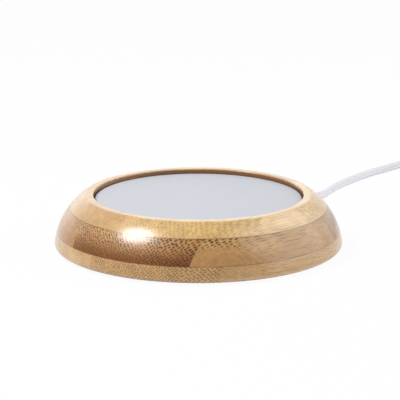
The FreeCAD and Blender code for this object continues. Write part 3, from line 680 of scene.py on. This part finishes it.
def grained(name, tone, roughness, grain_size, grain_depth, spread=0.04, metallic=0.0):
    """A surface with its tone, roughness, grain size and depth (mm), and a slight spread of its tone."""
    material, tree, output = new_material(name)
    place = add(tree, "ShaderNodeTexCoord").outputs["Object"]
    grain, broad = (
        add(
            tree, "ShaderNodeTexNoise", {"Vector": place, "Scale": 1 / size, "Detail": detail},
        ).outputs["Fac"]
        for size, detail in ((grain_size * mm, 3.0), (gloss_patch, 2.0))
    )
    both = add(tree, "ShaderNodeMath", {0: grain, 1: broad}, operation="ADD").outputs[0]
    shade = add(
        tree, "ShaderNodeMapRange", {0: both, 1: sum_low, 2: sum_high, 3: 1 - spread, 4: 1 + spread},
    ).outputs[0]
    colour = add(
        tree, "ShaderNodeVectorMath", {0: linear(tone)[:3], "Scale": shade}, operation="SCALE",
    ).outputs[0]
    glossy, dull = roughness * (1 - gloss_spread), roughness * (1 + gloss_spread)
    gloss = add(
        tree, "ShaderNodeMapRange", {0: broad, 1: noise_low, 2: noise_high, 3: glossy, 4: dull},
    ).outputs[0]
    bump = add(tree, "ShaderNodeBump", {"Height": grain, "Distance": grain_depth * mm}).outputs[0]
    surface = add(
        tree, "ShaderNodeBsdfPrincipled",
        {"Base Color": colour, "Roughness": gloss, "Metallic": metallic, "Normal": bump},
    )
    tree.links.new(surface.outputs[0], output.inputs["Surface"])
    return material


print("gloss wanders by", gloss_spread, "over", round(gloss_patch / mm), "mm")

# %% [markdown]
# The plate and its seal
# The plate is aluminium with a sprayed heat-proof coating. A seal of dark silicone lies round it and keeps
# spills out of the gap.

# %% The plate and its seal


def size_of(name):
    """How long a piece is along X, Y and Z, in mm."""
    low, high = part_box(name)
    return tuple(round((end - start) / mm, 2) for start, end in zip(low, high))


# Sprayed coating: pale, cool and dull, so that no lamp makes a spot on it.
paint(grained("aluminium_heat_coating_sprayed", "#CBCED5", 0.55, 0.25, 0.012, spread=0.012), "hot_plate")
# Moulded silicone: a dark line with hardly a shine.
paint(grained("silicone_moulded_dark", "#3A332E", 0.5, 0.4, 0.01), "plate_seal")
print("plate", size_of("hot_plate"), "mm, seal", size_of("plate_seal"), "mm")

# %% [markdown]
# The white plastics
# Soft PVC is extruded round the lead's cores, which leaves no grain at all, and moulded over the plug, which
# keeps the mould's fine grain. Both are white and satin. A block of moulded nylon holds the plug's contacts,
# and a tie with a plastic skin holds the coil.

# %% White plastics
# Extruded PVC: even and satin, so that light fades softly round the lead.
white_pvc = grained("white_pvc_extruded", "#EEEEF4", 0.55, 3.0, 0.0, spread=0.004)
lead.data.materials.append(white_pvc)
print(white_pvc.name, "on the lead")
paint(white_pvc, "cord_inner")
# Moulded PVC: a little glossier, with just a trace of grain.
white_moulding = grained("white_pvc_moulded", "#E8E8EC", 0.42, 0.4, 0.003, spread=0.006)
paint(white_moulding, "cord_grommet", "plug_boot", "plug_body")
# Moulded nylon: a slightly warmer white inside the shell.
paint(grained("white_nylon_moulded", "#E9E9E6", 0.4, 0.3, 0.01), "plug_insulator")
# Plastic skin: greyer than the lead, so that the tie reads as another piece.
paint(grained("tie_plastic_skinned", "#DEDEE1", 0.4, 0.4, 0.004, spread=0.01), "coil_tie")
print("tie", size_of("coil_tie"), "mm")

# %% [markdown]
# The plug's metals
# The shell is stamped from steel sheet and nickel plated, and the contacts have a flash of gold, which
# doesn't tarnish. Both take their colour from the metal itself, so they are fully metallic.

# %% The plug's metals
# Nickel plate: a bright and slightly soft mirror.
paint(grained("steel_nickel_plated_stamped", "#D2D3D6", 0.22, 0.5, 0.004, metallic=1.0), "plug_shell")
# Gold flash: small warm glints.
paint(grained("gold_flash_plated", "#D9B25C", 0.25, 0.5, 0.004, metallic=1.0), "plug_contacts")
print("shell is", size_of("plug_shell")[2], "mm high")

# %% [markdown]
# The base and its fasteners
# The base cover is moulded from black ABS in a spark-eroded mould, and the feet are softer black rubber that
# grips the table. The screws are zinc plated steel.

# %% The base and its fasteners
# Spark-grained ABS: a broad dull shine on black.
paint(grained("black_abs_moulded", "#202024", 0.42, 0.35, 0.04), "base_cover")
# Rubber: greyer and without a shine.
paint(grained("black_rubber_moulded", "#3A3A3E", 0.78, 0.3, 0.02), "rubber_feet")
# Zinc plate: pale metal with a soft mirror.
zinc_plate = grained("steel_zinc_plated", "#BEC0C4", 0.32, 0.4, 0.006, metallic=1.0)
paint(zinc_plate, "base_screws", "clamp_screws", "retainer_screws")
print("base cover", size_of("base_cover"), "mm")

# %% [markdown]
# Inside the body
# These pieces show only when the body is taken apart, but each has its own material all the same. The
# heater is an amber film with an etched track of foil, white felt lies under it against the heat, and a
# plated sheet holds them all to the plate.

# %% Heater and insulation
# Polyimide film: amber and smooth.
paint(grained("polyimide_film_amber", "#C07A28", 0.35, 0.6, 0.004), "heater_film")
# Etched foil: dull brownish metal lines.
paint(grained("resistance_foil_etched", "#B5ACA0", 0.3, 0.4, 0.004, metallic=1.0), "heater_track")
# Pressed ceramic fibre: chalky white, with a grain that can be felt.
paint(grained("ceramic_felt_pressed", "#EDEAE0", 0.9, 0.5, 0.1), "insulation_pad")
# Zinc plated sheet: even pale metal.
paint(grained("steel_sheet_zinc_plated", "#B9BBBF", 0.36, 0.8, 0.006, metallic=1.0), "retainer_plate")
print("felt is", size_of("insulation_pad")[2], "mm thick")

# %% [markdown]
# Fuse, wires and clamp
# A one-shot fuse in a glass fibre sleeve cuts the heater off when it gets too hot. The wires have covers in
# the colours that a fitter goes by, and a nylon bar clamps the lead.

# %% Fuse, wires and clamp
# Drawn and tin plated can: bright metal.
paint(grained("tin_plated_can_drawn", "#C9CBD0", 0.3, 0.4, 0.004, metallic=1.0), "thermal_fuse")
# Braided glass fibre: matt cream.
paint(grained("glass_sleeving_braided", "#E6E2D2", 0.7, 0.4, 0.05), "fuse_sleeve")
# Extruded silicone and PVC: smooth and satin.
white_silicone = grained("white_silicone_extruded", "#E8E8E4", 0.45, 0.5, 0.006)
paint(white_silicone, "heater_lead_live", "heater_lead_return")
paint(grained("red_pvc_extruded", "#B32320", 0.35, 0.5, 0.006), "core_red")
paint(grained("black_pvc_extruded", "#1E1E20", 0.35, 0.5, 0.006), "core_black")
# Shrunk sleeve: black with a soft shine.
paint(grained("polyolefin_sleeve_shrunk", "#232326", 0.5, 0.5, 0.01), "splice_sleeves")
# Moulded natural nylon: milky white.
paint(grained("natural_nylon_moulded", "#DADAD4", 0.42, 0.3, 0.01), "cord_clamp_bar")
print("materials:", len(bpy.data.materials))

# %% [markdown]
# The white surroundings
# The picture's background is pure white, and the object mirrors white walls in its lacquer. The world is
# white for the camera, and for reflections it is white behind the object, but dim where the camera stands:
# that side of a studio is dark, which keeps the wood's colours deep, while the white behind lies as a pale
# veil on the surfaces that curve away. For the light itself, it is dim on every side, so that the lamps
# make the shapes.

# %% World
# How bright the world is behind the object and on the camera's side, as a light and as what is mirrored.
back_light, front_light = 0.33, 0.17
back_mirror, front_mirror = 1.0, 0.18
# Each change lies between two values of the direction: -1 is straight behind, 1 is where the camera is.
light_change, mirror_change = (-0.2, 0.6), (-0.78, -0.38)
# A direction that also points up counts as farther behind, so that the white ends higher up.
upward_share = -0.35
world = bpy.data.worlds.new("white_room")
bpy.context.scene.world = world
world.use_nodes = True
world.node_tree.nodes.clear()
sky = world.node_tree
way = add(sky, "ShaderNodeTexCoord").outputs["Generated"]
front_way = (math.sin(camera_azimuth), -math.cos(camera_azimuth), 0.0)
facing = add(sky, "ShaderNodeVectorMath", {0: way, 1: front_way}, operation="DOT_PRODUCT").outputs["Value"]
upward = add(sky, "ShaderNodeSeparateXYZ", {0: way}).outputs["Z"]
tilted = add(
    sky, "ShaderNodeMath", {0: upward, 1: upward_share, 2: facing}, operation="MULTIPLY_ADD",
).outputs[0]
light, mirror = (
    add(
        sky, "ShaderNodeMapRange", {0: direction, 1: start, 2: end, 3: back, 4: front}, **soft_ends,
    ).outputs[0]
    for direction, (start, end), back, front in (
        (facing, light_change, back_light, front_light),
        (tilted, mirror_change, back_mirror, front_mirror),
    )
)
rays = add(sky, "ShaderNodeLightPath")
level = add(sky, "ShaderNodeMix", {0: rays.outputs["Is Glossy Ray"], 2: light, 3: mirror}).outputs[0]
clear = add(
    sky, "ShaderNodeMath", {0: rays.outputs["Is Camera Ray"], 1: rays.outputs["Is Transmission Ray"]},
    operation="MAXIMUM",
).outputs[0]
level = add(sky, "ShaderNodeMix", {0: clear, 2: level, 3: 1.0}).outputs[0]
glow = add(sky, "ShaderNodeBackground", {"Color": (1.0, 1.0, 1.0, 1.0), "Strength": level})
add(sky, "ShaderNodeOutputWorld", {"Surface": glow.outputs[0]})
print("world gives", back_light, "from behind and", front_light, "from the camera's side")

# %% [markdown]
# The table
# A white laminate top, pressed smooth. It gives the eye nothing but a faint soft shadow, so that the object
# stands on something. For the camera and for mirrors most of it glows, so that it melts into the white
# behind; the rest is a dull white that takes the shadow.

# %% Table top
floor_half = 1.5
glow_share = 0.95
floor_mesh = bpy.data.meshes.new("floor")
floor_corners = [(x * floor_half, y * floor_half, 0.0) for x, y in ((-1, -1), (1, -1), (1, 1), (-1, 1))]
floor_mesh.from_pydata(floor_corners, [], [(0, 1, 2, 3)])
floor = bpy.data.objects.new("floor", floor_mesh)
bpy.context.scene.collection.objects.link(floor)
white_table, tree, output = new_material("white_table_top")
rays = add(tree, "ShaderNodeLightPath")
seen = rays.outputs["Is Camera Ray"]
for ray in ("Is Glossy Ray", "Is Transmission Ray"):
    seen = add(tree, "ShaderNodeMath", {0: seen, 1: rays.outputs[ray]}, operation="MAXIMUM").outputs[0]
share = add(tree, "ShaderNodeMath", {0: seen, 1: glow_share}, operation="MULTIPLY").outputs[0]
lit = add(tree, "ShaderNodeBsdfDiffuse", {"Color": linear("#F8F8F8")})
glow = add(tree, "ShaderNodeEmission", {"Color": (1.0, 1.0, 1.0, 1.0), "Strength": 1.0})
mixed = add(tree, "ShaderNodeMixShader", {0: share, 1: lit.outputs[0], 2: glow.outputs[0]})
tree.links.new(mixed.outputs[0], output.inputs["Surface"])
# The glow is for the camera and for mirrors only, so light isn't sampled from it: the picture gets cleaner.
white_table.cycles.emission_sampling = "NONE"
floor.data.materials.append(white_table)
print("table is", 2 * floor_half, "m wide")

# %% [markdown]
# The lamps
# One round softbox stands high on the left and makes the long highlight on the lacquer, where the middle
# ply meets the upper one: on the curved side a round lamp mirrors as a lying ellipse. A wide weak lamp on
# the right lifts the shaded side, and a low panel behind the object on the left whitens the lacquer where it
# curves away, so that the outline stands off from the deep colours in front.

# %% Three area lamps


def softbox(name, azimuth, elevation, distance, width, height, radiance, shape="ELLIPSE"):
    """A lamp that faces the object: where it stands (degrees and metres), its size (metres) and its
    brightness as seen from the object."""
    data = bpy.data.lights.new(name, "AREA")
    data.shape = shape
    data.size, data.size_y = width, height
    area = width * height * (math.pi / 4 if shape == "ELLIPSE" else 1.0)
    data.energy = radiance * math.pi * area
    lamp = bpy.data.objects.new(name, data)
    bpy.context.scene.collection.objects.link(lamp)
    turn, rise = math.radians(azimuth), math.radians(elevation)
    way = Vector((math.sin(turn) * math.cos(rise), -math.cos(turn) * math.cos(rise), math.sin(rise)))
    lamp.location = way * distance
    lamp.rotation_euler = (-way).to_track_quat("-Z", "Y").to_euler()
    print(name, "gives", round(data.energy, 2), "W")


softbox("key_softbox", -39.0, 51.5, 0.9, 0.355, 0.355, 18.0)
softbox("right_fill", 122.0, 30.0, 1.0, 1.2, 1.0, 1.52, shape="RECTANGLE")
softbox("back_left_panel", -131.0, 12.0, 1.0, 0.8, 0.4, 0.45, shape="RECTANGLE")

# %% [markdown]
# Looks of the picture
# The view transform is Standard, so that a colour shows as it is written.

# %% Finish
bpy.context.scene.view_settings.view_transform = "Standard"
